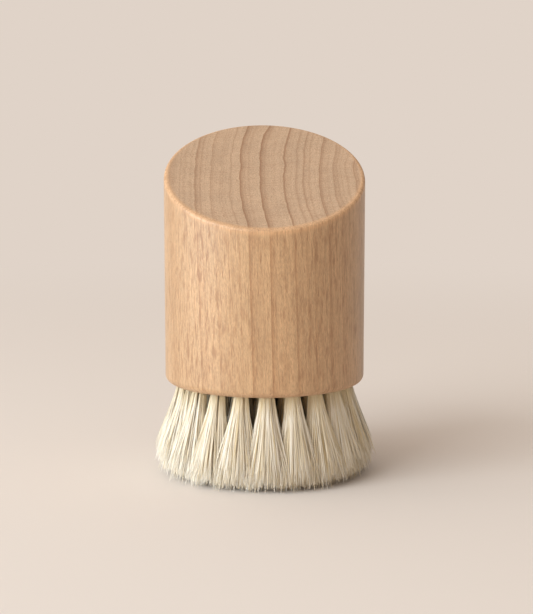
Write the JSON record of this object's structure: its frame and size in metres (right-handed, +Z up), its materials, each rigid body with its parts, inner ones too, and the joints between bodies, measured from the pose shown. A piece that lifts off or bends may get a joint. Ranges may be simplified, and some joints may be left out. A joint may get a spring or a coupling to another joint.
{
  "type": "palm brush",
  "caption": "Round palm brush: turned wooden handle with a sloping palm face and splayed natural bristle tufts trimmed flat with a rounded edge.",
  "frame": {"origin": "on the surface that the brush stands on, under the middle of the handle", "axes": "+Z up along the handle's axis, away from the bristles; the palm face slopes down towards -Y"},
  "size_m": [0.0552, 0.0552, 0.0861],
  "materials": {
    "beech": "sanded, unvarnished",
    "bristle": "natural, undyed, matt",
    "anchor_wire": "drawn flat wire"
  },
  "bodies": {
    "root": {"handle": "beech", "tuft_outer_01": "bristle", "tuft_outer_02": "bristle", "tuft_outer_03": "bristle", "tuft_outer_04": "bristle", "tuft_outer_05": "bristle", "tuft_outer_06": "bristle", "tuft_outer_07": "bristle", "tuft_outer_08": "bristle", "tuft_outer_09": "bristle", "tuft_outer_10": "bristle", "tuft_outer_11": "bristle", "tuft_outer_12": "bristle", "tuft_outer_13": "bristle", "tuft_outer_14": "bristle", "tuft_outer_15": "bristle", "tuft_outer_16": "bristle", "tuft_outer_17": "bristle", "tuft_outer_18": "bristle", "tuft_outer_19": "bristle", "tuft_outer_20": "bristle", "tuft_middle_01": "bristle", "tuft_middle_02": "bristle", "tuft_middle_03": "bristle", "tuft_middle_04": "bristle", "tuft_middle_05": "bristle", "tuft_middle_06": "bristle", "tuft_middle_07": "bristle", "tuft_middle_08": "bristle", "tuft_middle_09": "bristle", "tuft_middle_10": "bristle", "tuft_middle_11": "bristle", "tuft_middle_12": "bristle", "tuft_middle_13": "bristle", "tuft_inner_01": "bristle", "tuft_inner_02": "bristle", "tuft_inner_03": "bristle", "tuft_inner_04": "bristle", "tuft_inner_05": "bristle", "tuft_inner_06": "bristle", "tuft_inner_07": "bristle", "tuft_centre": "bristle", "anchors_outer": "anchor_wire", "anchors_middle": "anchor_wire", "anchors_inner": "anchor_wire", "anchors_centre": "anchor_wire"}
  },
  "joints": []
}
